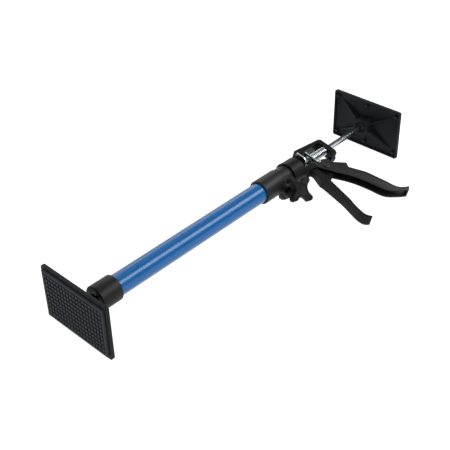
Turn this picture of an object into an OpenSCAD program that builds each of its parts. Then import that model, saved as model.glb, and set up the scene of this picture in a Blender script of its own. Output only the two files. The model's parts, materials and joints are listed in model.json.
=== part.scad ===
// Telescopic drywall support pole, lying on the long edges of its two plates.
// +X runs along the pole from the base pad to the head pad, +Z is up, the levers point to -Y.
// The outer face of the base pad is at x = 0 and the pole's axis is the X axis. Millimetres.

/* [Plates and pads] */
// Long side of a plate
plate_l = 114; // [90:1:140]
// Short side of a plate
plate_h = 76; // [60:1:100]
// Corner radius of a plate
plate_corner_r = 2.5; // [2:0.5:8]
// Depth of the rim round a plate
plate_rim_d = 4.8; // [3.6:0.1:7]
// Thickness of the rim round a plate
plate_rim_t = 2.4; // [1.6:0.1:3.5]
// Thickness of a plate's floor
plate_floor_t = 2.2; // [1.6:0.1:2.8]
// Thickness of a rubber grip pad
pad_t = 2.6; // [1.8:0.1:4]
// Distance from a plate's edge to its pad's edge
pad_inset = 2.2; // [1:0.1:4]
// Thickness of a diagonal rib
rib_t = 2.2; // [1.4:0.1:3.5]
// Height of a rib where it meets the hub
rib_h = 10; // [4:0.5:11]
// Radius of the holes that the pad's plugs fill
plug_hole_r = 2.3; // [1.6:0.1:3.2]
// Distance of the plug holes from the short edges
plug_edge_l = 6.4; // [6:0.1:10]
// Distance of the plug holes from the long edges
plug_edge_h = 8; // [6.4:0.1:12]

/* [Ball joints] */
// Radius of a ball
ball_r = 6.6; // [5.6:0.1:7]
// Thickness of the seat shell round a ball
seat_t = 1.4; // [1.1:0.1:1.8]
// Distance from a plate's pad side to the ball's centre
ball_depth = 10.4; // [10.2:0.1:12]
// Distance from the ball's centre to the hub's mouth
hub_mouth = 6.5; // [5.8:0.1:7]
// Outer radius of a hub
hub_r = 12.6; // [10.3:0.1:14]
// Radius of the neck behind a ball
neck_r = 3.4; // [2.6:0.1:3.6]

/* [Tubes] */
// Outer diameter of the outer tube
outer_tube_d = 28; // [26:0.5:32]
// Wall of both tubes
tube_wall = 1.2; // [0.8:0.1:1.5]
// Gap all round between the two tubes
tube_gap = 0.5; // [0.35:0.05:0.8]
// Length of the outer tube
outer_tube_l = 311; // [260:1:400]
// Distance from the outer tube's rear end to the inner tube's rear end
inner_set_back = 13.5; // [11:0.5:60]

/* [Foot cap] */
// Wall of the foot cap round the tube
cap_wall = 2.8; // [2:0.1:4]
// Length of the foot cap over the tube
cap_grip_l = 20.5; // [14:0.5:30]
// Depth of the open recess towards the base plate
cap_recess_d = 5.5; // [3:0.5:8]
// Thickness of the cap's inner wall
cap_floor_t = 4; // [3:0.5:6]
// Distance from the base ball's centre to the cap
cap_stand_off = 18.6; // [16:0.1:24]

/* [Clamp collar] */
// Length of the collar over the outer tube
collar_grip_l = 35.5; // [25:0.5:50]
// Wall of the collar over the outer tube
collar_wall = 2.8; // [2:0.1:4]
// Length of the split sleeve over the inner tube
sleeve_l = 16.5; // [15:0.5:20]
// Wall of the split sleeve
sleeve_wall = 3.1; // [2.6:0.1:3.6]
// Width of the slit between the two lugs
slit_w = 1.8; // [1:0.1:3]
// Thickness of one lug
lug_t = 6.6; // [5:0.1:8]
// Length of a lug along the pole
lug_l = 15; // [13:0.5:16]
// Distance from the pole's axis to the clamp bolt
bolt_offset = 22; // [21:0.5:25]
// Radius of the clamp bolt
bolt_r = 3; // [2.5:0.1:3.4]
// Turn of the clamp round the pole
clamp_roll = 38.9; // [20:0.1:60]

/* [Star knob] */
// Distance from the knob's axis to a lobe's tip
knob_r = 21.5; // [17:0.5:26]
// Thickness of the knob's star
knob_t = 11; // [8:0.5:14]
// Radius of a lobe's end
lobe_r = 4.2; // [3.4:0.1:5]
// Radius of the hollow between two lobes
hollow_r = 10; // [6:0.5:11]
// Length of the knob's neck
knob_neck_l = 14; // [10:0.5:18]
// Turn of the lobes round the knob's axis
knob_phase = 21; // [0:1:90]

/* [Drive housing] */
// Turn of the levers below the horizontal
mech_roll = 14; // [0:0.5:15]
// Radius of the round shank
shank_r = 17.4; // [16.5:0.1:20]
// Length of the round shank
shank_l = 22; // [20:0.5:32]
// Depth of the socket for the inner tube
socket_l = 16; // [12:0.5:16]
// Length of the bay between the shank and the release plate
bay_l = 8; // [6:0.5:10]
// Length of the window in front of the bay
window_l = 53.5; // [52:0.5:58]
// Half width of the window
window_half_w = 12; // [11.8:0.1:13]
// Half width of the frame at its front
frame_half_w = 16.3; // [15.2:0.1:18]
// Depth of the frame across the window's plane
frame_d = 16; // [14:0.5:18]
// Thickness of the front wall
front_wall_t = 7.5; // [5:0.5:10]
// Half thickness of the tongue that carries the trigger
tongue_half_t = 3; // [2:0.1:3.1]

/* [Levers] */
// Reach of the fixed handle from the pole's axis
handle_reach = 129; // [110:1:134]
// Reach of the trigger from the pole's axis
trigger_reach = 128; // [110:1:134]
// Width of the fixed handle across its channel
handle_w = 10.8; // [10:0.2:13]
// Width of the trigger across its channel
trigger_w = 14.4; // [10.8:0.2:14.6]
// Wall of both levers
lever_wall = 1.8; // [1.4:0.1:1.8]
// Radius of the trigger's pivot pin
pivot_r = 2.5; // [1.8:0.1:3]

/* [Rod drive] */
// Width of the hexagonal rod across its flats
rod_af = 8; // [6:0.1:8.4]
// Length of the hexagonal rod
rod_l = 336; // [300:1:380]
// Length of rod that stands out of the front wall
rod_out = 77.5; // [68:0.5:120]
// Thickness of the drive plate and the release plate
jam_plate_t = 2.5; // [1.8:0.1:2.8]
// Distance from the release plate's rear to the drive plate
drive_stand_off = 21.2; // [21.2:0.1:23]
// Radius of the drive spring's wire
spring_wire_r = 0.6; // [0.4:0.05:0.7]
// Number of turns of the drive spring
spring_turns = 12; // [6:1:13]
// Radius of the drive spring at the drive plate, to the wire's middle
spring_rear_r = 6.9; // [6.2:0.1:7.4]
// Radius of the drive spring at the front wall, to the wire's middle
spring_front_r = 6; // [5.8:0.1:7]

/* [Hidden] */
$fn = 96;

// Clearances: a running fit, a fixed fit, a gap between free faces, and the overrun of a cut
run_gap = 0.06;
fixed_gap = 0.05;
free_gap = 0.3;
over = 1;

// Radii that follow from the tubes
outer_r = outer_tube_d / 2;
outer_bore_r = outer_r - tube_wall;
inner_r = outer_bore_r - tube_gap;
inner_bore_r = inner_r - tube_wall;
cap_r = outer_r + cap_wall;
collar_r = outer_r + collar_wall;
sleeve_r = inner_r + sleeve_wall;

// Stations along the pole
x_plate = pad_t;
x_base_ball = x_plate + ball_depth;
x_cap = x_base_ball + cap_stand_off;
x_cap_floor = x_cap + cap_recess_d;
x_tube = x_cap_floor + cap_floor_t;
x_tube_end = x_tube + outer_tube_l;
x_collar = x_tube_end - collar_grip_l;
collar_step_l = 3;
x_sleeve = x_tube_end + collar_step_l;
x_sleeve_end = x_sleeve + sleeve_l;
x_bolt = x_sleeve_end - sleeve_wall - lug_l / 2 - collar_step_l;
shank_gap = 1;
x_shank = x_sleeve_end + shank_gap;
x_bay = x_shank + shank_l;
x_window = x_bay + bay_l;
x_wall = x_window + window_l;
x_front = x_wall + front_wall_t;
x_socket = x_shank + socket_l;
x_inner = x_tube + inner_set_back;
x_rod_end = x_front + rod_out;
x_rod = x_rod_end - rod_l;
rod_ball_gap = 9;
x_head_ball = x_rod_end + rod_ball_gap;
x_head_plate = x_head_ball + ball_depth;

// Ball joints
seat_bore_r = ball_r + run_gap;
seat_r = seat_bore_r + seat_t;
cavity_r = seat_r + run_gap;
seat_mouth = 3.6;
lip_mouth = 4.2;
lip_r = sqrt(pow(cavity_r, 2) - pow(lip_mouth, 2));
lip_flare_share = 0.8;
stud_thread_r = 3.9;
stud_flange_r = 6.6;
stud_flange_t = 3;
recess_gap = 1;
recess_r = stud_flange_r + recess_gap;
stud_nut_r = 7.5;
stud_nut_t = 6;
stud_thread_l = cap_floor_t + stud_nut_t + over / 2;
rod_tap_r = 2.9;
rod_tap_l = 14;

// Parts inside the tubes
bush_flange_t = 3.5;
bush_plug_l = 12;
bush_wall = 2.2;
stop_t = 5;
stop_r = inner_bore_r - free_gap - run_gap;
tail_r = 2.4;
tail_l = 12;
screw_head_r = 4.4;
screw_head_t = 2.6;

// Clamp
lug_end_r = 6.5;
lug_slit_back = 15;
bolt_head_r = 5.8;
bolt_head_t = 4;
washer_r = 6.8;
washer_t = 1.2;
insert_r = 5;
insert_l = 10;
knob_neck_r = 8;
knob_neck_tip_r = 6.6;
knob_dish_r = 7.6;
knob_dish_d = 0.8;
knob_chamfer = 1;
lug_face = slit_w / 2 + lug_t;
knob_start = lug_face + washer_t + free_gap / 2;

// Housing
shank_lip_h = 0.6;
shank_lip_r = shank_r + shank_lip_h;
shank_lip_l = 2.2;
rod_r = rod_af / 2 / cos(30);
rod_bore_r = rod_r + run_gap;
plate_bore_r = rod_r + free_gap;
spring_pocket_r = 8;
spring_pocket_d = 3;
frame_corner_r = 3;
gusset_x = window_l - 10;
gusset_fillet_r = 7;
rail_out = 21.2;
rail_out_x = 10.4;
rail_in = 14.6;
rail_in_x = -1.6;
near_block_l = 13.2;
near_block_in = 9.2;
near_web_in = 15.5;
near_web_out = 21;
near_end_share = 0.42;
boss_r = 6.2;
rivet_r = 2;
rivet_head_t = 0.8;
heel_half_w = 5;
heel_l = 5;
heel_t = 2.6;

// Levers: the pivot from the window's rear and the pole's axis
pivot_x = 24.9;
pivot_s = 27;
pin_head_r = 4;
pin_head_t = 1.2;
clip_t = 1;
cheek_out = trigger_w / 2;
cheek_in = cheek_out - lever_wall;
web_shift = [-2.2, 1.2];
handle_web_share = 1.15;

// Drive plates
plate_half_w = 7.4;
drive_top = 11;
drive_foot_s = 13;
drive_foot_l = 3.5;
release_half_w = 9.5;
release_offset = 2;
release_top = 17.6;
release_bottom = 9;
release_near_r = 7;
release_far_r = 2.5;
release_wire_r = 0.45;
release_turns = 5;
release_spring_r = 6.4;

// Outline of the fixed handle, as shares of its reach from the window's rear on the pole's axis
handle_rear_shares = [
  [0.008, 0.133], [0.018, 0.184], [-0.014, 0.272], [-0.033, 0.327], [-0.028, 0.36],
  [-0.055, 0.636], [-0.082, 0.762], [-0.104, 0.871], [-0.097, 0.953], [-0.05, 1]
];
handle_front_shares = [
  [0.002, 0.978], [-0.027, 0.935], [-0.036, 0.875], [-0.012, 0.745], [0.01, 0.67], [0.07, 0.35],
  [0.086, 0.28], [0.086, 0.14]
];
handle_tip_share = 0.97;
handle_tip_shares = [[-0.034, 0.978], [0.25, 0.86]];
handle_tongue_shares = [
  [0.07, 0.13], [0.25, 0.13], [0.27, 0.2], [0.24, 0.292], [0.16, 0.33], [0.08, 0.36]
];
// Outline of the trigger, as shares of its reach from the same point
trigger_top_shares = [
  [0.108, 0.16], [0.113, 0.105], [0.122, 0.087], [0.148, 0.084], [0.163, 0.09], [0.163, 0.119],
  [0.214, 0.119], [0.218, 0.098], [0.302, 0.132], [0.297, 0.2]
];
trigger_step_shares = [[0.419, 0.308], [0.384, 0.365]];
trigger_front_shares = [
  [0.482, 0.535], [0.537, 0.741], [0.565, 0.866], [0.611, 0.93], [0.686, 0.969]
];
trigger_rear_shares = [
  [0.644, 1], [0.528, 0.926], [0.434, 0.836], [0.383, 0.664], [0.309, 0.477], [0.18, 0.284],
  [0.135, 0.22]
];
trigger_open_shares = [[-0.1, 0], [0.35, 0], [0.35, 0.18], [0.29, 0.19]];
trigger_open_end_shares = [[-0.1, 1.53]];

// Turns a side view, x along the pole and s towards the levers, into the drawing plane
function side(points, reach) = [for (p = points) [p[0] * reach, -p[1] * reach]];

// A smooth curve through points, with a few steps between each two
function curve(points, steps = 4) = let (n = len(points))
  [for (i = [0 : n - 2], k = [0 : steps - 1])
    let (
      a = points[max(i - 1, 0)], b = points[i], c = points[i + 1], d = points[min(i + 2, n - 1)],
      t = k / steps
    )
    (2 * b + (c - a) * t + (2 * a - 5 * b + 4 * c - d) * t * t
      + (3 * b - a - 3 * c + d) * t * t * t) / 2,
    points[n - 1]];

// Points of a spring's middle line: a straight end, the turns and a straight end, along +X
coil_rings = 8;
function coil_line(length, r0, r1, turns, wire) =
  let (n = turns * coil_rings, lead = 2 * wire)
  concat(
    [[0, r0, 0]],
    [for (i = [0 : n]) let (a = 360 * i / coil_rings, t = i / n, r = r0 + (r1 - r0) * t)
      [lead + (length - 2 * lead) * t, r * cos(a), r * sin(a)]],
    [[length, r1, 0]]
  );

function unit(v) = v / norm(v);

// The least gap between two stretches of a coil at least half a turn apart
function coil_gap(line, wire) = min(
  [for (i = [1 : len(line) - 2], j = [i + coil_rings / 2 : 1 : min(i + coil_rings * 2, len(line) - 2)])
    norm(line[i] - line[j])]) - 2 * wire;

// One unbroken tube along a line, with six sides, its first ring square to +X
tube_sides = 6;
module wire_tube(line, wire) {
  n = len(line);
  dirs = [for (i = [0 : n - 1])
    i == 0 || i == n - 1 ? [1, 0, 0] : unit(line[i + 1] - line[i - 1])];
  rings = [for (i = [0 : n - 1], k = [0 : tube_sides - 1])
    let (
      radial = unit([0, line[i][1], line[i][2]]),
      u = unit(radial - (radial * dirs[i]) * dirs[i]),
      v = cross(dirs[i], u),
      a = 360 * k / tube_sides
    )
    line[i] + wire * (cos(a) * u + sin(a) * v)];
  sides = [for (i = [0 : n - 2], k = [0 : tube_sides - 1])
    let (a = i * tube_sides + k, b = i * tube_sides + (k + 1) % tube_sides)
    each [[a, a + tube_sides, b], [b, a + tube_sides, b + tube_sides]]];
  start = [for (k = [1 : tube_sides - 2]) [0, k, k + 1]];
  last = (n - 1) * tube_sides;
  end = [for (k = [1 : tube_sides - 2]) [last, last + k + 1, last + k]];
  polyhedron(concat(rings), concat(sides, start, end));
}

// A cylinder along +X from x0 to x1
module bar(x0, x1, r) translate([x0, 0, 0]) rotate([0, 90, 0]) cylinder(h = x1 - x0, r = r);

// A cone along +X from x0 to x1
module cone(x0, x1, r0, r1)
  translate([x0, 0, 0]) rotate([0, 90, 0]) cylinder(h = x1 - x0, r1 = r0, r2 = r1);

// A cylinder across the mechanism, along its own +Z
module post(z0, z1, r) translate([0, 0, z0]) cylinder(h = z1 - z0, r = r);

// A rectangle with round corners round the origin
module round_rect(l, h, r) {
  square([l - 2 * r, h], center = true);
  square([l, h - 2 * r], center = true);
  for (x = [-1, 1], y = [-1, 1]) translate([x * (l / 2 - r), y * (h / 2 - r)]) circle(r = r);
}

// A slab across the pole from x0 to x1
module slab(x0, x1, l, h, r)
  translate([x0, 0, 0]) rotate([90, 0, 90]) linear_extrude(x1 - x0) round_rect(l, h, r);

// Placement of what belongs to the base end, the head end, the clamp and the mechanism
module at_base() translate([x_plate, 0, 0]) children();
module at_head() translate([x_head_plate, 0, 0]) rotate([0, 0, 180]) children();
module at_clamp() translate([x_bolt, 0, 0]) rotate([-clamp_roll, 0, 0]) children();
module at_bolt() at_clamp() translate([0, 0, -bolt_offset]) rotate([90, 0, 0]) children();
module in_mech() rotate([mech_roll, 0, 0]) translate([x_window, 0, 0]) children();
module at_pivot() in_mech() translate([pivot_x, -pivot_s, 0]) children();

// Places of the plug holes: four corners and two mid edges
module at_plugs() {
  plug_y = plate_l / 2 - plug_edge_l;
  plug_z = plate_h / 2 - plug_edge_h;
  for (z = [-plug_z, plug_z], y = [-plug_y, 0, plug_y]) translate([0, y, z]) children();
}

// A plate with its pad side at x = 0 and its hub towards +X
module plate_body() {
  difference() {
    union() {
      difference() {
        slab(0, plate_rim_d, plate_l, plate_h, plate_corner_r);
        slab(
          plate_floor_t, plate_rim_d + over,
          plate_l - 2 * plate_rim_t, plate_h - 2 * plate_rim_t, plate_corner_r - plate_rim_t / 2
        );
      }
      cone(plate_floor_t / 2, ball_depth + hub_mouth, hub_r + rib_t / 2, hub_r);
      plate_ribs();
    }
    translate([ball_depth, 0, 0]) sphere(r = cavity_r);
    cone(
      ball_depth + lip_mouth - over, ball_depth + hub_mouth + over,
      lip_r - over * lip_flare_share, lip_r + (hub_mouth + over - lip_mouth) * lip_flare_share
    );
    at_plugs() bar(-over, plate_floor_t + over, plug_hole_r);
  }
}

// Four ribs from the hub towards the plate's corners, falling to the rim's depth
module plate_ribs() {
  rib_l = norm([plate_l, plate_h]) / 2 - 2 * plug_edge_h;
  lean = atan2(plate_h / 2 - plug_edge_h, plate_l / 2 - plug_edge_l);
  for (a = [lean, 180 - lean, 180 + lean, -lean])
    rotate([a, 0, 0]) translate([0, 0, -rib_t / 2]) linear_extrude(rib_t)
      polygon([
        [plate_floor_t / 2, 0], [plate_floor_t / 2, rib_l], [plate_floor_t, rib_l],
        [plate_floor_t + rib_h, hub_r - rib_t / 2], [plate_floor_t + rib_h, 0]
      ]);
}

// A rubber pad in front of its plate, with plugs through the plate's holes
module pad_body() {
  slab(
    -pad_t, 0, plate_l - 2 * pad_inset, plate_h - 2 * pad_inset, plate_corner_r - pad_inset / 2
  );
  at_plugs() bar(0, plate_floor_t - free_gap, plug_hole_r - fixed_gap);
}

// A bearing shell between the ball and the hub, open towards the neck
module seat_body() {
  translate([ball_depth, 0, 0]) difference() {
    sphere(r = seat_r);
    sphere(r = seat_bore_r);
    bar(seat_mouth, seat_r + over, seat_r);
    bar(-seat_r - over, -seat_mouth - seat_t, seat_r);
  }
}

// Soft faces and plates of both ends
module base_grip_pad() { color("#26282a") at_base() pad_body(); }
module base_plate() { color("#232427") at_base() plate_body(); }
module base_ball_seat() { color("#2b2c2e") at_base() seat_body(); }
module head_ball_seat() { color("#2b2c2e") at_head() seat_body(); }
module head_plate() { color("#232427") at_head() plate_body(); }
module head_grip_pad() { color("#26282a") at_head() pad_body(); }

// Ball with a neck, a flange on the cap's inner wall and a threaded end
module base_ball_stud() {
  color("#3d3f42") {
    translate([x_base_ball, 0, 0]) sphere(r = ball_r);
    bar(x_base_ball, x_cap_floor - stud_flange_t, neck_r);
    bar(x_cap_floor - stud_flange_t, x_cap_floor, stud_flange_r);
    bar(x_cap_floor, x_cap_floor + stud_thread_l, stud_thread_r);
  }
}

// Nut on the stud's end, inside the outer tube
module base_stud_nut() {
  color("#a9adb0") difference() {
    translate([x_tube, 0, 0]) rotate([0, 90, 0]) cylinder(h = stud_nut_t, r = stud_nut_r, $fn = 6);
    bar(x_tube - over, x_tube + stud_nut_t + over, stud_thread_r + fixed_gap);
  }
}

// Black cap over the tube's end, with an open recess towards the base plate
module foot_cap() {
  edge = cap_wall / 2;
  x_end = x_tube + cap_grip_l;
  color("#2a2b2d") difference() {
    union() {
      cone(x_cap, x_cap + edge / 2, cap_r - edge / 2, cap_r);
      bar(x_cap + edge / 2, x_end - edge, cap_r);
      cone(x_end - edge, x_end, cap_r, cap_r - edge);
    }
    bar(x_cap - over, x_cap_floor, recess_r);
    bar(x_tube, x_end + over, outer_r + fixed_gap);
    bar(x_cap_floor - over, x_tube + over, stud_thread_r + fixed_gap);
  }
}

// Blue outer tube
module outer_tube() {
  color("#1f6fc0") difference() {
    bar(x_tube, x_tube_end, outer_r);
    bar(x_tube - over, x_tube_end + over, outer_bore_r);
  }
}

// Collar on the outer tube with a split sleeve and two lugs round the inner tube
module clamp_collar() {
  edge = collar_wall / 3;
  color("#2a2b2d") difference() {
    union() {
      cone(x_collar, x_collar + edge, collar_r - edge, collar_r);
      bar(x_collar + edge, x_sleeve - edge, collar_r);
      cone(x_sleeve - edge, x_sleeve, collar_r, collar_r - edge);
      bar(x_sleeve, x_sleeve_end, sleeve_r);
      at_clamp() translate([0, lug_face, 0]) rotate([90, 0, 0]) linear_extrude(2 * lug_face) {
        translate([-lug_l / 2, -bolt_offset]) square([lug_l, bolt_offset - inner_r / 2]);
        translate([0, -bolt_offset]) circle(r = lug_end_r);
        translate([-lug_l / 2 + sleeve_wall, -bolt_offset - lug_end_r + sleeve_wall])
          square([lug_l - 2 * sleeve_wall, lug_end_r]);
      }
    }
    bar(x_collar - over, x_tube_end, outer_r + fixed_gap);
    bar(x_tube_end - over, x_sleeve_end + over, inner_r + run_gap);
    at_clamp() translate([-lug_slit_back, -slit_w / 2, -bolt_offset - lug_end_r - over])
      cube([lug_slit_back + sleeve_l + lug_l, slit_w, bolt_offset + lug_end_r + over]);
    at_bolt() post(-lug_face - over, lug_face + over, bolt_r + fixed_gap);
  }
}

// Hexagon bolt through both lugs, with its head below the pole
module clamp_bolt() {
  color("#2b2c2e") at_bolt() {
    translate([0, 0, -lug_face - bolt_head_t]) cylinder(h = bolt_head_t, r = bolt_head_r, $fn = 6);
    post(-lug_face - bolt_head_t, knob_start + insert_l, bolt_r);
  }
}

// Washer between the lug and the knob
module clamp_washer() {
  color("#9fa3a6") at_bolt() difference() {
    post(lug_face, lug_face + washer_t, washer_r);
    post(lug_face - over, lug_face + washer_t + over, bolt_r + fixed_gap);
  }
}

// Threaded insert moulded into the knob
module knob_insert() {
  color("#b08d4c") at_bolt() difference() {
    post(knob_start, knob_start + insert_l, insert_r);
    post(knob_start - over, knob_start + insert_l + over, bolt_r + run_gap);
  }
}

// Outline of the knob's star: a middle, four arms and the hollows between them
module star(grow) {
  arm_r = lobe_r + grow;
  curl_r = hollow_r - grow;
  arm_l = knob_r - lobe_r;
  for (a = [0 : 90 : 270]) rotate(a) {
    translate([0, -arm_r]) square([arm_l, 2 * arm_r]);
    translate([arm_l, 0]) circle(r = arm_r);
    difference() {
      square(arm_r + curl_r);
      translate([arm_r + curl_r, arm_r + curl_r]) circle(r = curl_r);
    }
  }
}

// Star knob with a tapering neck, turning on the bolt
module star_knob() {
  star_start = knob_start + knob_neck_l;
  star_end = star_start + knob_t;
  color("#242527") at_bolt() difference() {
    union() {
      translate([0, 0, knob_start])
        cylinder(h = knob_neck_l, r1 = knob_neck_r, r2 = knob_neck_tip_r);
      post(star_start - knob_chamfer, star_end - knob_chamfer, knob_neck_tip_r);
      rotate(knob_phase) {
        translate([0, 0, star_start]) linear_extrude(knob_t) star(-knob_chamfer / 2);
        translate([0, 0, star_start + knob_chamfer])
          linear_extrude(knob_t - 2 * knob_chamfer) star(0);
      }
    }
    post(knob_start - over, knob_start + insert_l, insert_r + fixed_gap);
    post(star_end - knob_dish_d, star_end + over, knob_dish_r);
  }
}

// Inner tube, almost all of it inside the outer tube
module inner_tube() {
  color("#c3c6c9") difference() {
    bar(x_inner, x_socket, inner_r);
    bar(x_inner - over, x_socket + over, inner_bore_r);
    in_mech() translate([x_shank + socket_l / 2 - x_window, 0, 0])
      post(-shank_r, 0, rivet_r + fixed_gap);
  }
}

// Guide bush plugged into the inner tube's rear end
module inner_tube_bush() {
  plug_r = inner_bore_r - fixed_gap;
  color("#d8d6cf") difference() {
    union() {
      bar(x_inner - bush_flange_t, x_inner, outer_bore_r - run_gap);
      bar(x_inner, x_inner + bush_plug_l, plug_r);
    }
    bar(x_inner - bush_flange_t - over, x_inner + bush_plug_l + over, plug_r - bush_wall);
  }
}

// Outline of the frame round the bay and the window, in the mechanism's plane
module frame_outline() {
  front = window_l + front_wall_t;
  rear = -bay_l - shank_gap;
  c = frame_corner_r;
  near = frame_half_w * (1 + near_end_share / 2);
  polygon([
    [rear, rail_in], [rail_in_x, rail_in], [rail_out_x - c, rail_out - c / 2],
    [rail_out_x, rail_out], [front - c, frame_half_w], [front, frame_half_w - c],
    [front, -frame_half_w + c], [front - c, -near + c / 2], [window_l, -near_web_out + c / 2],
    [gusset_x, -near_web_out], [near_block_l, -near_web_out], [rail_in_x + c, -rail_in - c],
    [rail_in_x, -rail_in], [rear, -rail_in]
  ]);
}

// The open bay and window, with a round inner corner beside the trigger
module window_outline() {
  r = gusset_fillet_r;
  difference() {
    union() {
      translate([-bay_l, -near_block_in]) square([bay_l + gusset_x, window_half_w + near_block_in]);
      translate([near_block_l, -near_web_out - over])
        square([gusset_x - near_block_l, window_half_w + near_web_out + over]);
      translate([near_block_l, -near_web_in])
        square([window_l - near_block_l, window_half_w + near_web_in]);
    }
    translate([window_l - r, -near_web_in]) difference() {
      square([r, r]);
      translate([0, r]) circle(r = r);
    }
  }
}

// Thin tongue from the shank to the front wall, with the pivot's boss below it
module tongue_outline() {
  difference() {
    union() {
      translate([0, -near_web_out]) square([window_l + shank_gap, near_web_out - near_web_in]);
      polygon(side(handle_tongue_shares, handle_reach));
      translate([pivot_x, -pivot_s]) circle(r = boss_r);
      polygon([
        [pivot_x - boss_r, -pivot_s], [pivot_x - boss_r, -near_web_in],
        [pivot_x + boss_r / 2, -near_web_in], [pivot_x + boss_r, -pivot_s]
      ]);
    }
    translate([pivot_x, -pivot_s]) circle(r = pivot_r + fixed_gap);
  }
}

// Outline of the fixed handle
module handle_outline() {
  polygon(concat(
    curve(side(handle_rear_shares, handle_reach)), curve(side(handle_front_shares, handle_reach))
  ));
}

// The handle's channel: what lies in front of its rear wall, short of its closed tip
module handle_channel_outline() {
  rear = curve(side(handle_rear_shares, handle_reach));
  tip_y = -handle_reach * handle_tip_share;
  polygon(concat(
    [for (p = rear) if (p[1] < -shank_r && p[1] > tip_y) p + [lever_wall * handle_web_share, 0]],
    side(handle_tip_shares, handle_reach),
    [[handle_reach / 4, -shank_r - lever_wall]]
  ));
}

// Cast housing: shank, window frame, tongue and fixed handle in one piece
module drive_housing() {
  color("#303134") difference() {
    union() {
      bar(x_shank, x_shank + shank_lip_l, shank_lip_r);
      bar(x_shank, x_bay, shank_r);
      in_mech() {
        linear_extrude(frame_d, center = true) difference() {
          frame_outline();
          window_outline();
        }
        linear_extrude(2 * tongue_half_t, center = true) tongue_outline();
        difference() {
          linear_extrude(handle_w, center = true) handle_outline();
          linear_extrude(handle_w - 2 * lever_wall, center = true) handle_channel_outline();
        }
        translate([-bay_l - shank_gap, -heel_half_w, -release_bottom - free_gap - heel_t])
          cube([bay_l + shank_gap + heel_l, 2 * heel_half_w, heel_t]);
      }
    }
    bar(x_shank - over, x_socket, inner_r + fixed_gap);
    bar(x_socket - over, x_front + over, rod_bore_r);
    bar(x_bay - spring_pocket_d, x_bay + over, spring_pocket_r);
    in_mech() translate([x_shank + socket_l / 2 - x_window, 0, 0])
      post(-shank_r - over, 0, rivet_r + fixed_gap);
  }
}

// Rivet that holds the inner tube in the shank
module socket_rivet() {
  color("#8d9194") in_mech() translate([x_shank + socket_l / 2 - x_window, 0, 0])
    post(-shank_r + rivet_head_t / 2, -inner_bore_r, rivet_r);
}

// Trigger: a channel open to the rear, closed at its tip, with two horns behind the drive plate
module trigger() {
  bow = curve(side(trigger_front_shares, trigger_reach));
  front = concat(side(trigger_step_shares, trigger_reach), bow);
  inner = [for (i = [0 : len(front) - 2]) front[i] + [web_shift[0], -web_shift[1]]];
  color("#2b2c2f") in_mech() difference() {
    linear_extrude(trigger_w, center = true) polygon(concat(
      side(trigger_top_shares, trigger_reach), front, curve(side(trigger_rear_shares, trigger_reach))
    ));
    linear_extrude(2 * cheek_in, center = true) polygon(concat(
      side(trigger_open_shares, trigger_reach), inner, side(trigger_open_end_shares, trigger_reach)
    ));
    translate([pivot_x, -pivot_s, 0]) post(-trigger_w, trigger_w, pivot_r + run_gap);
  }
}

// Pivot pin with a flat head above the trigger
module pivot_pin() {
  color("#3b3d40") at_pivot() {
    post(-cheek_out - free_gap - clip_t, cheek_out + free_gap, pivot_r);
    post(cheek_out + free_gap, cheek_out + free_gap + pin_head_t, pin_head_r);
  }
}

// Clip on the pivot pin's lower end
module pivot_clip() {
  color("#6f7376") at_pivot() difference() {
    post(-cheek_out - free_gap - clip_t, -cheek_out - free_gap, pin_head_r);
    post(-cheek_out - free_gap - clip_t - over, -cheek_out, pivot_r + fixed_gap);
  }
}

// Drive plate round the rod, with a foot turned forward above the trigger
module drive_plate() {
  color("#d5d9dc") in_mech() translate([drive_stand_off, 0, 0]) difference() {
    union() {
      translate([0, -drive_foot_s, -plate_half_w])
        cube([jam_plate_t, drive_foot_s + drive_top, 2 * plate_half_w]);
      translate([0, -drive_foot_s, -plate_half_w])
        cube([jam_plate_t + drive_foot_l, jam_plate_t, 2 * plate_half_w]);
    }
    bar(-over, jam_plate_t + over, plate_bore_r);
  }
}

// Conical drive spring between the drive plate and the front wall
spring_l = window_l - drive_stand_off - jam_plate_t;
spring_line = coil_line(spring_l, spring_rear_r, spring_front_r, spring_turns, spring_wire_r);
echo(str("drive_spring least gap ", coil_gap(spring_line, spring_wire_r)));
module drive_spring() {
  color("#dfe3e6") in_mech() translate([drive_stand_off + jam_plate_t, 0, 0])
    wire_tube(spring_line, spring_wire_r);
}

// Outline of the release plate, seen along the pole, rounder at its near corner
module release_outline() {
  near = release_offset - release_half_w;
  far = release_offset + release_half_w;
  translate([near, -release_bottom])
    square([far - near, release_bottom + release_top - release_near_r]);
  translate([near + release_near_r, 0])
    square([far - near - release_near_r - release_far_r, release_top]);
  translate([near + release_near_r, 0])
    square([far - near - release_near_r, release_top - release_far_r]);
  translate([near + release_near_r, release_top - release_near_r]) circle(r = release_near_r);
  translate([far - release_far_r, release_top - release_far_r]) circle(r = release_far_r);
}

// Release plate with a round thumb tab above the shank
module release_plate() {
  color("#d5d9dc") in_mech() difference() {
    rotate([90, 0, 90]) linear_extrude(jam_plate_t) release_outline();
    bar(-over, jam_plate_t + over, plate_bore_r);
  }
}

// Small spring behind the release plate, from the shank's pocket
release_spring_l = spring_pocket_d + bay_l;
release_line = coil_line(
  release_spring_l, release_spring_r, release_spring_r, release_turns, release_wire_r
);
echo(str("release_spring least gap ", coil_gap(release_line, release_wire_r)));
module release_spring() {
  color("#dfe3e6") in_mech() translate([-release_spring_l, 0, 0])
    wire_tube(release_line, release_wire_r);
}

// Hexagonal rod, tapped at the head end and turned down at its tail
module push_rod() {
  color("#c9ced2") in_mech() translate([-x_window, 0, 0]) difference() {
    translate([x_rod, 0, 0]) rotate([0, 90, 0]) rotate(30) cylinder(h = rod_l, r = rod_r, $fn = 6);
    bar(x_rod_end - rod_tap_l, x_rod_end + over, rod_tap_r + fixed_gap);
    bar(x_rod - over, x_rod + tail_l, tail_r + fixed_gap);
  }
}

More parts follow.
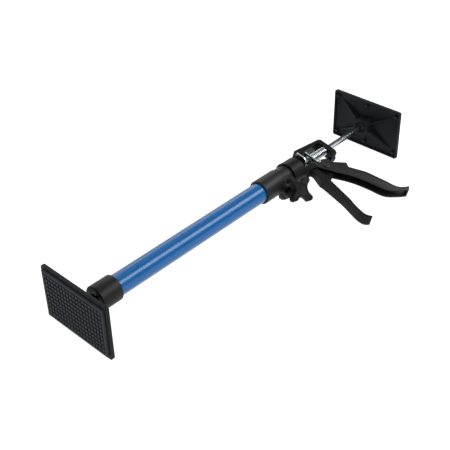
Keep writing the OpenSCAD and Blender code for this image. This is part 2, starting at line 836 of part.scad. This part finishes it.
// Stop ring at the rod's tail, sliding in the inner tube
module rod_stop() {
  color("#d8d6cf") difference() {
    bar(x_rod - stop_t, x_rod, stop_r);
    bar(x_rod - stop_t - over, x_rod + over, tail_r + fixed_gap);
  }
}

// Screw that holds the stop ring
module rod_stop_screw() {
  color("#a9adb0") {
    bar(x_rod - stop_t, x_rod + tail_l, tail_r);
    bar(x_rod - stop_t - screw_head_t, x_rod - stop_t, screw_head_r);
  }
}

// Ball with a neck, a shoulder and a spigot in the rod's end
module head_ball_stud() {
  shoulder_t = rod_ball_gap - ball_r;
  color("#3d3f42") {
    translate([x_head_ball, 0, 0]) sphere(r = ball_r);
    bar(x_rod_end, x_head_ball, neck_r);
    bar(x_rod_end, x_rod_end + shoulder_t / 2, rod_af / 2);
    bar(x_rod_end - rod_tap_l, x_rod_end, rod_tap_r);
  }
}

base_grip_pad();
base_plate();
base_ball_seat();
base_ball_stud();
base_stud_nut();
foot_cap();
outer_tube();
clamp_collar();
clamp_bolt();
clamp_washer();
knob_insert();
star_knob();
inner_tube();
inner_tube_bush();
drive_housing();
socket_rivet();
trigger();
pivot_pin();
pivot_clip();
drive_plate();
drive_spring();
release_plate();
release_spring();
push_rod();
rod_stop();
rod_stop_screw();
head_ball_stud();
head_ball_seat();
head_plate();
head_grip_pad();
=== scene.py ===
import json
import math

import bmesh
import bpy
from mathutils import Euler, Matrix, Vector


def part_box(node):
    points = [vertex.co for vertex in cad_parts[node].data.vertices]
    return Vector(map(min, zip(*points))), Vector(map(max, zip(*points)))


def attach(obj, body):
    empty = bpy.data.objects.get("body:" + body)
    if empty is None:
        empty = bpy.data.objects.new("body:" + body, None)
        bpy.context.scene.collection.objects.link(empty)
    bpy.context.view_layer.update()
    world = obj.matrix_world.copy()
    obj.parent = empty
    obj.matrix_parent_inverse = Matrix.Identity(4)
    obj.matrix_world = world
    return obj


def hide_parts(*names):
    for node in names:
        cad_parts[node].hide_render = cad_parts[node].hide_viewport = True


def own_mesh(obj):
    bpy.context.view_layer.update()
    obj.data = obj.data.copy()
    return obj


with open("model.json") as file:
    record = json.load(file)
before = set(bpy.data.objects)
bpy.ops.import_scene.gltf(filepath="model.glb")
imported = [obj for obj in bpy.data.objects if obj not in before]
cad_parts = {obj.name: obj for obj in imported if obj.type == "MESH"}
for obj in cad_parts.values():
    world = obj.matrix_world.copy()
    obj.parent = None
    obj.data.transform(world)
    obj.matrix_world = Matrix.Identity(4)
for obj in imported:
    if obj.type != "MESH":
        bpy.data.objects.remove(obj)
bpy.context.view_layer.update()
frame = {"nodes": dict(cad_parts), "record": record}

MM = 0.001
NODES = frame["nodes"]


# Shader sums and blends

def calc(tree, operation, *values, clamp=False):
    """Output of a Math node whose inputs are sockets or constant numbers."""
    node = tree.nodes.new("ShaderNodeMath")
    node.operation, node.use_clamp = operation, clamp
    for socket, value in zip(node.inputs, values):
        if isinstance(value, (int, float)):
            socket.default_value = value
        else:
            tree.links.new(value, socket)
    return node.outputs[0]


def blend(tree, share, first, second):
    """Output of a colour mix between two colour sockets."""
    mix = tree.nodes.new("ShaderNodeMix")
    mix.data_type = "RGBA"
    colours = [socket for socket in mix.inputs if socket.type == "RGBA"]
    for source, socket in zip((share, first, second), (mix.inputs["Factor"], *colours)):
        tree.links.new(source, socket)
    return next(socket for socket in mix.outputs if socket.type == "RGBA")


# Camera, as the photograph was taken: place in metres, angles in degrees, picture in pixels
def make_camera():
    picture = 450
    place = Vector((-0.4217, -0.6414, 0.6748))
    heading, down, roll = 46.01, 34.45, -2.77
    focal_px = 891
    off_right_px, off_down_px = 30.7, 32.8
    data = bpy.data.cameras.new("camera")
    data.sensor_width = 36
    data.lens = focal_px / picture * data.sensor_width
    data.shift_x = off_right_px / picture
    data.shift_y = -off_down_px / picture
    data.clip_start, data.clip_end = 0.05, 20
    camera = bpy.data.objects.new("camera", data)
    turn = Euler((0, 0, math.radians(heading - 90))).to_quaternion()
    tip = Euler((math.radians(90 - down), 0, 0)).to_quaternion()
    lean = Euler((0, 0, math.radians(roll))).to_quaternion()
    camera.rotation_mode = "QUATERNION"
    camera.rotation_quaternion = turn @ tip @ lean
    camera.location = place
    bpy.context.scene.collection.objects.link(camera)
    bpy.context.scene.camera = camera


# Softboxes round the pole, a wide ceiling light and a dim room
def make_lights():
    def softbox(name, place, aim, size, power):
        data = bpy.data.lights.new(name, "AREA")
        data.shape = "RECTANGLE"
        data.size, data.size_y = size
        data.energy = power
        box = bpy.data.objects.new(name, data)
        box.location = place
        box.rotation_mode = "QUATERNION"
        box.rotation_quaternion = (Vector(aim) - Vector(place)).to_track_quat("-Z", "Y")
        bpy.context.scene.collection.objects.link(box)

    middle = (0.3, 0, 0)
    softbox("strip_softbox", (0.9, -0.9, 1.07), (0.5, 0, 0), (3.2, 0.6), 46)
    softbox("back_softbox", (0.6, 1.3, 0.8), middle, (2.4, 0.9), 14)
    softbox("left_softbox", (-1.2, -0.1, 0.7), middle, (0.8, 0.8), 6)
    sky = bpy.data.lights.new("ceiling_light", "SUN")
    sky.energy = 0.5
    sky.angle = math.radians(60)
    ceiling = bpy.data.objects.new("ceiling_light", sky)
    ceiling.rotation_euler = (math.radians(-20), math.radians(10), 0)
    bpy.context.scene.collection.objects.link(ceiling)
    world = bpy.data.worlds.new("surround")
    world.use_nodes = True
    glow_over_room(world.node_tree, room=0.12, glow=0.8, front_rise=0.1, back_rise=0.35)
    bpy.context.scene.world = world
    bpy.context.scene.view_settings.view_transform = "Standard"


def glow_over_room(tree, room, glow, front_rise, back_rise):
    """A dim room whose walls glow near the floor, higher up behind the pole than before it."""
    nodes, link = tree.nodes, tree.links.new
    look = nodes.new("ShaderNodeTexCoord").outputs["Generated"]
    camera_heading = (0.69, 0.72, 0)
    parts = nodes.new("ShaderNodeSeparateXYZ")
    link(look, parts.inputs[0])
    behind = nodes.new("ShaderNodeVectorMath")
    behind.operation = "DOT_PRODUCT"
    link(look, behind.inputs[0])
    behind.inputs[1].default_value = camera_heading
    backward = calc(tree, "MULTIPLY", behind.outputs["Value"], 1, clamp=True)
    rise = calc(tree, "MULTIPLY_ADD", backward, back_rise - front_rise, front_rise)
    height = calc(tree, "DIVIDE", parts.outputs["Z"], rise, clamp=True)
    strength = calc(tree, "MULTIPLY_ADD", calc(tree, "SUBTRACT", 1, height), glow, room)
    back = nodes["Background"]
    back.inputs["Color"].default_value = (1, 1, 1, 1)
    link(strength, back.inputs["Strength"])


# Plain pale floor under the plates' long edges
def make_floor():
    lowest = min(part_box(n)[0].z for n in ("base_plate", "head_plate"))
    half = 40.0
    mesh = bpy.data.meshes.new("floor")
    corners = [(x * half, y * half, lowest) for x, y in ((-1, -1), (1, -1), (1, 1), (-1, 1))]
    mesh.from_pydata(corners, [], [(0, 1, 2, 3)])
    floor = bpy.data.objects.new("floor", mesh)
    bpy.context.scene.collection.objects.link(floor)
    material = bpy.data.materials.new("pale_floor")
    material.use_nodes = True
    shader = material.node_tree.nodes["Principled BSDF"]
    shader.inputs["Base Color"].default_value = (0.2, 0.2, 0.2, 1)
    shader.inputs["Emission Color"].default_value = (1, 1, 1, 1)
    shader.inputs["Emission Strength"].default_value = 0.97
    shader.inputs["Roughness"].default_value = 0.9
    mesh.materials.append(material)


# Shared effects

def new_group(name, inputs, outputs):
    group = bpy.data.node_groups.new(name, "ShaderNodeTree")
    for label, kind, value in inputs:
        socket = group.interface.new_socket(label, in_out="INPUT", socket_type=kind)
        socket.default_value = value
    for label, kind in outputs:
        group.interface.new_socket(label, in_out="OUTPUT", socket_type=kind)
    return group


FLOAT, COLOUR = "NodeSocketFloat", "NodeSocketColor"
GREY = (0.5, 0.5, 0.5, 1)


# Two tones that drift into each other over a few millimetres, with fine grain on top
def build_mottle():
    group = new_group(
        "mottle",
        [("Tone A", COLOUR, GREY), ("Tone B", COLOUR, GREY), ("Patch Scale", FLOAT, 60),
         ("Grain Scale", FLOAT, 2500), ("Grain", FLOAT, 0.15), ("Rough", FLOAT, 0.5),
         ("Rough Spread", FLOAT, 0.1)],
        [("Colour", COLOUR), ("Roughness", FLOAT), ("Height", FLOAT)],
    )
    nodes, link = group.nodes, group.links.new
    source, sink = nodes.new("NodeGroupInput"), nodes.new("NodeGroupOutput")
    where = nodes.new("ShaderNodeTexCoord").outputs["Object"]

    def noise(scale_socket, detail):
        node = nodes.new("ShaderNodeTexNoise")
        node.inputs["Detail"].default_value = detail
        link(where, node.inputs["Vector"])
        link(source.outputs[scale_socket], node.inputs["Scale"])
        return node.outputs["Fac"]

    patch, grain = noise("Patch Scale", 3), noise("Grain Scale", 2)
    given = source.outputs
    fine = calc(group, "MULTIPLY", calc(group, "SUBTRACT", grain, 0.5), given["Grain"])
    share = calc(group, "ADD", patch, fine, clamp=True)
    rough = calc(group, "MULTIPLY_ADD", share, given["Rough Spread"], given["Rough"])
    link(blend(group, share, given["Tone A"], given["Tone B"]), sink.inputs["Colour"])
    link(rough, sink.inputs["Roughness"])
    link(grain, sink.inputs["Height"])
    return group


# Faint lines left by drawing or turning, stretched along the pole or across it.
# Its face-shade input paints shade on the faces that look along the pole, the more the squarer they
# face along it: painted shade that leaves a plate's broad faces darker than its cut edges.
def build_lines_and_face_shade():
    group = new_group(
        "draw_lines_and_face_shade",
        [("Tone A", COLOUR, GREY), ("Tone B", COLOUR, GREY), ("Along", FLOAT, 12),
         ("Across", FLOAT, 1500), ("Rough", FLOAT, 0.3), ("Rough Spread", FLOAT, 0.15),
         ("Painted Face Shade", FLOAT, 0)],
        [("Colour", COLOUR), ("Roughness", FLOAT), ("Height", FLOAT)],
    )
    nodes, link = group.nodes, group.links.new
    source, sink = nodes.new("NodeGroupInput"), nodes.new("NodeGroupOutput")
    place = nodes.new("ShaderNodeTexCoord")
    where = place.outputs["Object"]
    stretch = nodes.new("ShaderNodeCombineXYZ")
    link(source.outputs["Along"], stretch.inputs[0])
    link(source.outputs["Across"], stretch.inputs[1])
    link(source.outputs["Across"], stretch.inputs[2])
    scaled = nodes.new("ShaderNodeVectorMath")
    scaled.operation = "MULTIPLY"
    link(where, scaled.inputs[0])
    link(stretch.outputs[0], scaled.inputs[1])
    noise = nodes.new("ShaderNodeTexNoise")
    noise.inputs["Scale"].default_value = 1
    noise.inputs["Detail"].default_value = 3
    link(scaled.outputs[0], noise.inputs["Vector"])
    given, lines = source.outputs, noise.outputs["Fac"]
    facing = nodes.new("ShaderNodeSeparateXYZ")
    link(place.outputs["Normal"], facing.inputs[0])
    # Painted shade: the squarer a face looks along the pole, the more its colour is darkened
    squareness = calc(group, "POWER", calc(group, "ABSOLUTE", facing.outputs["X"]), 4)
    unshaded_share = calc(group, "SUBTRACT", 1, calc(group, "MULTIPLY", squareness, given["Painted Face Shade"]))
    face_shaded = nodes.new("ShaderNodeVectorMath")
    face_shaded.operation = "SCALE"
    link(blend(group, lines, given["Tone A"], given["Tone B"]), face_shaded.inputs[0])
    link(unshaded_share, face_shaded.inputs["Scale"])
    rough = calc(group, "MULTIPLY_ADD", lines, given["Rough Spread"], given["Rough"])
    link(face_shaded.outputs[0], sink.inputs["Colour"])
    link(rough, sink.inputs["Roughness"])
    link(lines, sink.inputs["Height"])
    return group


MOTTLE, LINES_AND_FACE_SHADE = build_mottle(), build_lines_and_face_shade()


def finish_material(
        name, group, values, bump, metallic=0.0, coat=0.0, coat_rough=0.1, specular=0.5):
    """A material that follows one shared effect; bump is its strength and its depth in metres."""
    material = bpy.data.materials.new(name)
    material.use_nodes = True
    nodes, link = material.node_tree.nodes, material.node_tree.links.new
    shader = nodes["Principled BSDF"]
    shader.inputs["Metallic"].default_value = metallic
    shader.inputs["Coat Weight"].default_value = coat
    shader.inputs["Coat Roughness"].default_value = coat_rough
    shader.inputs["Specular IOR Level"].default_value = specular
    effect = nodes.new("ShaderNodeGroup")
    effect.node_tree = group
    for label, value in values.items():
        effect.inputs[label].default_value = value
    link(effect.outputs["Colour"], shader.inputs["Base Color"])
    link(effect.outputs["Roughness"], shader.inputs["Roughness"])
    relief = nodes.new("ShaderNodeBump")
    relief.inputs["Strength"].default_value = bump[0]
    relief.inputs["Distance"].default_value = bump[1]
    link(effect.outputs["Height"], relief.inputs["Height"])
    link(relief.outputs["Normal"], shader.inputs["Normal"])
    return material


def build_finishes():
    finishes = {}

    def finish(name, group, tones, effect, bump, **shader):
        tone_a, tone_b = ((*tone, 1) for tone in tones)
        values = {"Tone A": tone_a, "Tone B": tone_b, **effect}
        finishes[name] = finish_material(name, group, values, bump, **shader)

    finish("blue_paint", MOTTLE, [(0.001, 0.069, 0.212), (0.0018, 0.079, 0.237)],
           {"Patch Scale": 25, "Grain Scale": 900, "Grain": 0.1, "Rough": 0.22,
            "Rough Spread": 0.05},
           (0.03, 0.0003), coat=0.28, coat_rough=0.12, specular=0.22)
    finish("cap_plastic", MOTTLE, [(0.0025, 0.0025, 0.0026), (0.0045, 0.0045, 0.0047)],
           {"Patch Scale": 90, "Grain Scale": 3000, "Grain": 0.4, "Rough": 0.42,
            "Rough Spread": 0.12},
           (0.1, 0.0003), specular=0.2)
    finish("cast_black", MOTTLE, [(0.0015, 0.0016, 0.0019), (0.0028, 0.003, 0.0035)],
           {"Patch Scale": 120, "Grain Scale": 2200, "Grain": 0.5, "Rough": 0.4,
            "Rough Spread": 0.14},
           (0.14, 0.0003), specular=0.14)
    finish("collar_black", MOTTLE, [(0.006, 0.0061, 0.0065), (0.0095, 0.0097, 0.0102)],
           {"Patch Scale": 110, "Grain Scale": 2400, "Grain": 0.5, "Rough": 0.38,
            "Rough Spread": 0.14},
           (0.12, 0.0003), specular=0.21)
    finish("knob_plastic", MOTTLE, [(0.003, 0.003, 0.0032), (0.006, 0.006, 0.0064)],
           {"Patch Scale": 200, "Grain Scale": 1600, "Grain": 0.8, "Rough": 0.5,
            "Rough Spread": 0.12},
           (0.3, 0.0004), specular=0.1)
    finish("plate_plastic", MOTTLE, [(0.002, 0.0025, 0.0037), (0.0036, 0.0044, 0.0062)],
           {"Patch Scale": 60, "Grain Scale": 2600, "Grain": 0.5, "Rough": 0.5,
            "Rough Spread": 0.12},
           (0.12, 0.0003), specular=0.15)
    finish("pad_rubber", MOTTLE, [(0.0125, 0.0145, 0.019), (0.019, 0.0218, 0.0275)],
           {"Patch Scale": 80, "Grain Scale": 1800, "Grain": 0.6, "Rough": 0.58,
            "Rough Spread": 0.12},
           (0.16, 0.0003), specular=0.22)
    finish("zinc_steel", LINES_AND_FACE_SHADE, [(0.46, 0.5, 0.52), (0.53, 0.57, 0.59)],
           {"Along": 5, "Across": 900, "Rough": 0.2, "Rough Spread": 0.04},
           (0.005, 0.0002), metallic=1.0)
    # The plates' broad faces get painted shade, 0.88 of it where they face squarely along the pole
    finish("zinc_plate", LINES_AND_FACE_SHADE, [(0.5, 0.53, 0.55), (0.62, 0.65, 0.67)],
           {"Along": 900, "Across": 300, "Rough": 0.3, "Rough Spread": 0.14,
            "Painted Face Shade": 0.88},
           (0.06, 0.0002), metallic=1.0)
    finish("spring_steel", LINES_AND_FACE_SHADE, [(0.7, 0.74, 0.76), (0.82, 0.86, 0.88)],
           {"Along": 700, "Across": 700, "Rough": 0.14, "Rough Spread": 0.1},
           (0.05, 0.0001), metallic=1.0)
    finish("black_steel", MOTTLE, [(0.012, 0.012, 0.013), (0.022, 0.022, 0.024)],
           {"Patch Scale": 150, "Grain Scale": 1800, "Grain": 0.5, "Rough": 0.34,
            "Rough Spread": 0.15},
           (0.1, 0.0002), metallic=0.5)
    finish("bearing_plastic", MOTTLE, [(0.55, 0.54, 0.5), (0.65, 0.64, 0.6)],
           {"Patch Scale": 120, "Grain Scale": 2000, "Grain": 0.3, "Rough": 0.4,
            "Rough Spread": 0.1},
           (0.08, 0.0002))
    finish("insert_brass", LINES_AND_FACE_SHADE, [(0.6, 0.43, 0.2), (0.75, 0.56, 0.3)],
           {"Along": 900, "Across": 900, "Rough": 0.25, "Rough Spread": 0.15},
           (0.1, 0.0002), metallic=1.0)
    return finishes


FINISHES = build_finishes()
SLOT_OF = {s["node"]: s["material_slot"] for s in frame["record"]["subparts"]}
BODIES = frame["record"]["behaviour"]["bodies"]
BODY_OF = {node: body for body, nodes in BODIES.items() for node in nodes}


# Pieces whose finish differs from that of their slot
FINISH_OF = {
    "release_plate": "zinc_plate", "drive_plate": "zinc_plate", "clamp_collar": "collar_black",
    "trigger": "collar_black", "pivot_pin": "black_steel",
}


# Degrees: edges sharper than the first are shaded crisp, sharper than the second are bevelled,
# and flatter than the third are dissolved
CREASE_ANGLE, BEVEL_ANGLE, FLAT_ANGLE = 35, 32, 0.6


def paint(piece, finish):
    piece.data.materials.clear()
    piece.data.materials.append(FINISHES[finish])
    for face in piece.data.polygons:
        face.material_index = 0


def smooth(mesh, angle=CREASE_ANGLE):
    """Smooth shading, with every edge sharper than the angle kept crisp."""
    form = bmesh.new()
    form.from_mesh(mesh)
    limit = math.radians(angle)
    for face in form.faces:
        face.smooth = True
    for edge in form.edges:
        edge.smooth = not (edge.is_manifold and edge.calc_face_angle(0) > limit)
    form.to_mesh(mesh)
    form.free()


def place_piece(name, mesh, node, body=None):
    """Links a new piece, gives it the node's finish and body, and lets it stand for the node."""
    piece = bpy.data.objects.new(name, mesh)
    bpy.context.scene.collection.objects.link(piece)
    paint(piece, FINISH_OF.get(node, SLOT_OF[node]))
    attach(piece, body or BODY_OF[node])
    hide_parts(node)
    return piece


def softened(node, width, crease):
    """A copy of a node with its sharp edges rounded, as moulded, cast or turned parts have them."""
    mesh = NODES[node].data.copy()
    form = bmesh.new()
    form.from_mesh(mesh)
    bmesh.ops.remove_doubles(form, verts=form.verts, dist=0.001 * MM)
    bmesh.ops.dissolve_limit(
        form, angle_limit=math.radians(FLAT_ANGLE), use_dissolve_boundaries=False,
        verts=form.verts, edges=form.edges)
    limit = math.radians(BEVEL_ANGLE)
    sharp = [e for e in form.edges if e.is_manifold and e.calc_face_angle(0) > limit]
    bmesh.ops.bevel(
        form, geom=sharp, offset=width, offset_type="OFFSET", segments=2, profile=0.5,
        affect="EDGES", clamp_overlap=True, miter_outer="ARC", loop_slide=True)
    form.to_mesh(mesh)
    form.free()
    smooth(mesh, crease)
    return place_piece("soft_" + node, mesh, node)


def rounded_loop(half_l, half_h, radius, inset, height):
    """Points of a rectangle with round corners, drawn in by the inset, at one height."""
    least_radius, steps = 0.2 * MM, 5
    r = max(radius - inset, least_radius)
    l, h = half_l - inset - r, half_h - inset - r
    return [
        (sx * l + r * math.cos(a), sy * h + r * math.sin(a), height)
        for sx, sy, start in ((1, 1, 0), (-1, 1, 90), (-1, -1, 180), (1, -1, 270))
        for a in (math.radians(start + 90 * k / steps) for k in range(steps + 1))
    ]


class Form:
    """Points and faces of a piece, collected shell by shell."""

    def __init__(self):
        self.points, self.faces = [], []

    def shell(self, loops):
        """A closed shell through loops of equal length, capped at both ends."""
        n, first = len(loops[0]), len(self.points)
        for loop in loops:
            self.points += loop
        for k in range(len(loops) - 1):
            a = first + k * n
            b = a + n
            self.faces += [(a + i, a + (i + 1) % n, b + (i + 1) % n, b + i) for i in range(n)]
        last = first + (len(loops) - 1) * n
        self.faces += [tuple(range(first + n - 1, first - 1, -1)), tuple(range(last, last + n))]

    def mesh(self, name, place=tuple, angle=CREASE_ANGLE):
        mesh = bpy.data.meshes.new(name)
        mesh.from_pydata([place(p) for p in self.points], [], self.faces)
        smooth(mesh, angle)
        return mesh


# A pad's thickness, and where its plugs go through the plate
PAD_T = 2.6 * MM
PLUG_PLACES = [(y * MM, z * MM) for y in (-50.6, 0, 50.6) for z in (-30, 30)]


def ring(y, z, radius, height):
    steps = 20
    turns = [math.tau * k / steps for k in range(steps)]
    return [(y + radius * math.cos(a), z + radius * math.sin(a), height) for a in turns]


def grip_pad(node, face_x, outward):
    """Rubber pad: raised border, sunken field of square bumps, plugs with heads behind the plate."""
    half_l, half_h, corner = 53.6 * MM, 34.6 * MM, 1.4 * MM
    border, field = 3.7 * MM, PAD_T - 1.5 * MM
    edge = 0.45 * MM
    form = Form()
    form.shell([
        rounded_loop(half_l, half_h, corner, 0, 0),
        rounded_loop(half_l, half_h, corner, 0, PAD_T - edge),
        rounded_loop(half_l, half_h, corner, edge * 0.3, PAD_T - edge * 0.3),
        rounded_loop(half_l, half_h, corner, edge, PAD_T),
        rounded_loop(half_l, half_h, corner, border - edge / 2, PAD_T),
        rounded_loop(half_l, half_h, corner, border, PAD_T - edge / 2),
        rounded_loop(half_l, half_h, corner, border + edge / 2, field),
    ])
    columns, rows = 18, 10
    pitch_l = 2 * (half_l - border - edge) / columns
    pitch_h = 2 * (half_h - border - edge) / rows
    groove = 1.3 * MM

    # How far a bump's sides have drawn in, and its height there
    bump_profile = [(0, field - edge), (edge * 0.5, PAD_T - edge),
                    (edge * 0.9, PAD_T - edge / 3), (edge * 1.6, PAD_T)]

    def bump(y, z):
        def square(shrink, height):
            l, h = (pitch_l - groove) / 2 - shrink, (pitch_h - groove) / 2 - shrink
            signs = ((1, 1), (-1, 1), (-1, -1), (1, -1))
            return [(y + sy * l, z + sz * h, height) for sy, sz in signs]
        form.shell([square(*station) for station in bump_profile])

    for i in range(columns):
        for j in range(rows):
            bump((i - (columns - 1) / 2) * pitch_l, (j - (rows - 1) / 2) * pitch_h)
    floor_t, stem, head = 2.2 * MM, 2.25 * MM, 3.2 * MM
    # A plug's radius, and how many mm behind the plate's wall
    plug_profile = [(stem - edge, 3.8), (stem, 3.5), (head - edge, 1.2), (head, 0.8),
                    (head, 0.15), (stem, 0.1)]
    plugs = Form()
    for y, z in PLUG_PLACES:
        behind = [ring(y, z, radius, -floor_t - depth * MM) for radius, depth in plug_profile]
        plugs.shell([*behind, ring(y, z, stem, 0)])

    def place(p):
        return (face_x + outward * (p[2] - PAD_T), outward * p[0], p[1])

    place_piece("bumped_" + node, form.mesh("pad_form", place, angle=30), node)
    heads = place_piece("plugs_" + node, plugs.mesh("plug_form", place, angle=30), node)
    paint(heads, "cap_plastic")


def coil(node, start, end, radii, turns, wire, body):
    """Round-wire spring between two stations along the pole, with its end turns lying flat."""
    steps, sides, flat_turns = 26, 8, 0.8
    count = turns * steps
    flat = flat_turns * steps
    form = Form()

    def middle(i):
        run = min(max((i - flat) / (count - 2 * flat), 0), 1)
        turn = math.tau * i / steps
        radius = radii[0] + (radii[1] - radii[0]) * i / count
        along = start + wire + (end - start - 2 * wire) * run
        return Vector((along, radius * math.cos(turn), radius * math.sin(turn)))

    loops = []
    for i in range(count + 1):
        ahead = (middle(min(i + 1, count)) - middle(max(i - 1, 0))).normalized()
        out = Vector((0, *middle(i).yz)).normalized()
        side = ahead.cross(out)
        loops.append([tuple(middle(i) + wire * (math.cos(a) * out + math.sin(a) * side))
                      for a in (math.tau * k / sides for k in range(sides))])
    form.shell(loops)
    mesh = form.mesh("coil_form", angle=50)
    return place_piece("wound_" + node, mesh, node, body)


make_camera()
make_lights()
make_floor()

for node, piece in NODES.items():
    paint(piece, SLOT_OF[node])

# Width of each softened node's edges in mm. The rod's flats stay flat right to its rounded corners.
EDGE_WIDTHS = {
    "base_plate": 0.5, "head_plate": 0.5, "foot_cap": 0.5, "clamp_collar": 0.7, "star_knob": 1.2,
    "drive_housing": 0.8, "trigger": 0.5, "release_plate": 0.3, "drive_plate": 0.3,
    "pivot_pin": 0.3, "push_rod": 0.35, "clamp_bolt": 0.3, "pivot_clip": 0.2,
}
CREASES = {"push_rod": 20}
for node, width in EDGE_WIDTHS.items():
    softened(node, width * MM, CREASES.get(node, CREASE_ANGLE))

grip_pad("base_grip_pad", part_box("base_grip_pad")[0].x, -1)
grip_pad("head_grip_pad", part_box("head_grip_pad")[1].x, 1)

# The drive plate squashes the drive spring to about three quarters of its length
spring_low, spring_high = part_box("drive_spring")
drive_coil = coil(
    "drive_spring", spring_low.x, spring_high.x, (6.9 * MM, 6.0 * MM), 12, 0.56 * MM, "inner_body")
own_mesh(drive_coil)

# The release spring tips with its plate, so its far end keeps off the pocket's floor
spring_low, spring_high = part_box("release_spring")
tip_room = 1.5 * MM
coil(
    "release_spring", spring_low.x + tip_room, spring_high.x, (5.7 * MM, 5.7 * MM), 5, 0.42 * MM,
    "release")
